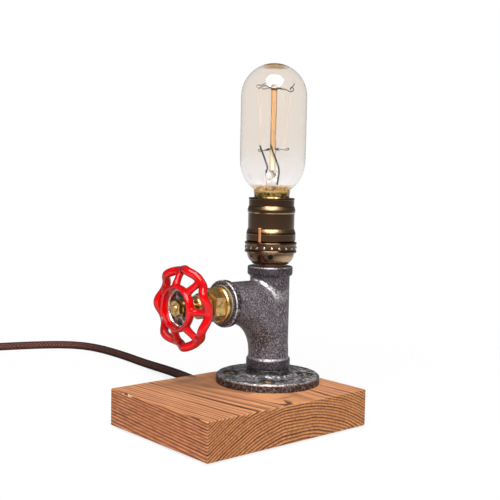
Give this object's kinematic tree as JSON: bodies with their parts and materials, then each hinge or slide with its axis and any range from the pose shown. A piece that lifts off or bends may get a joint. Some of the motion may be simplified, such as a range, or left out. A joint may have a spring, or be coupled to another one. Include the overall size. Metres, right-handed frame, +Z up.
{
  "type": "table lamp",
  "caption": "Table lamp made of pipe fittings: a floor flange on a wood block, a sweep tee with a handwheel dimmer on its branch, a brass lampholder and a tubular filament bulb.",
  "frame": {"origin": "on the table, under the middle of the wood block, at the underside of its felt pads", "axes": "+Z up; the handwheel points along -X; +Y is the rear, where the mains lead leaves"},
  "size_m": [0.2136, 0.4025, 0.2457],
  "materials": {
    "oiled_wood": "satin",
    "felt": "matte",
    "black_rubber": "matte",
    "cast_flange": "rough",
    "cast_fitting": "satin",
    "pipe_steel": "satin",
    "red_paint": "glossy",
    "wheel_plate_metal": "satin",
    "brass": "satin",
    "aged_bronze": "satin",
    "copper": "satin",
    "bright_steel": "satin",
    "bulb_metal": "satin",
    "dark_steel": "satin",
    "bulb_glass": "clear",
    "inner_glass": "clear",
    "amber_rod": "clear",
    "filament_wire": "matte",
    "porcelain": "satin",
    "fibre": "matte",
    "dimmer_plastic": "matte",
    "packing_fibre": "matte",
    "wire_blue": "matte",
    "wire_brown": "matte",
    "braided_textile": "matte",
    "plug_plastic": "satin",
    "pin_metal": "polished"
  },
  "bodies": {
    "stand": {"wood_base": "oiled_wood", "felt_pads": "felt", "cord_bush": "black_rubber", "floor_flange": "cast_flange", "flange_screws": "brass", "close_nipple": "pipe_steel", "sweep_tee": "cast_fitting", "tee_bush": "pipe_steel", "bonnet_gasket": "packing_fibre", "valve_bonnet": "brass", "gland_nut": "brass", "gland_packing": "packing_fibre", "dimmer_body": "dimmer_plastic", "socket_nipple": "pipe_steel", "socket_washer": "aged_bronze", "nipple_nut": "bright_steel", "socket_cap": "aged_bronze", "cap_set_screw": "dark_steel", "socket_ring": "aged_bronze", "socket_shell": "aged_bronze", "shell_tab": "copper", "socket_liner": "fibre", "socket_core": "porcelain", "screw_shell": "brass", "centre_contact": "brass", "terminal_screws": "brass", "cord_in_block": "braided_textile", "wire_neutral": "wire_blue", "wire_live": "wire_brown", "wire_switched": "wire_brown", "cord_lead": "braided_textile", "cord_coil": "braided_textile", "cord_tail": "braided_textile", "cord_tie": "black_rubber", "plug_body": "plug_plastic", "plug_pins": "pin_metal"},
    "handwheel_set": {"handwheel": "red_paint", "wheel_plate": "wheel_plate_metal", "wheel_washer": "brass", "wheel_nut": "brass", "valve_stem": "brass", "stem_sleeve": "bright_steel", "dimmer_shaft": "bright_steel"},
    "bulb": {"bulb_cap": "bulb_metal", "bulb_cap_insulator": "fibre", "bulb_cap_contact": "bright_steel", "bulb_glass": "bulb_glass", "glass_mount": "inner_glass", "support_rod": "amber_rod", "support_wires": "filament_wire", "filament": "filament_wire", "lead_wires": "filament_wire"}
  },
  "joints": [
    {"name": "dimmer_turn", "type": "hinge", "parent": "stand", "child": "handwheel_set", "pos_m": [-0.0466, 0.0057, 0.0839], "axis": [1, 0, 0], "range_deg": [0, 270]},
    {"name": "bulb_unscrew", "type": "slide", "parent": "stand", "child": "bulb", "axis": [0, 0, 1], "range_m": [0, 0.03]}
  ]
}
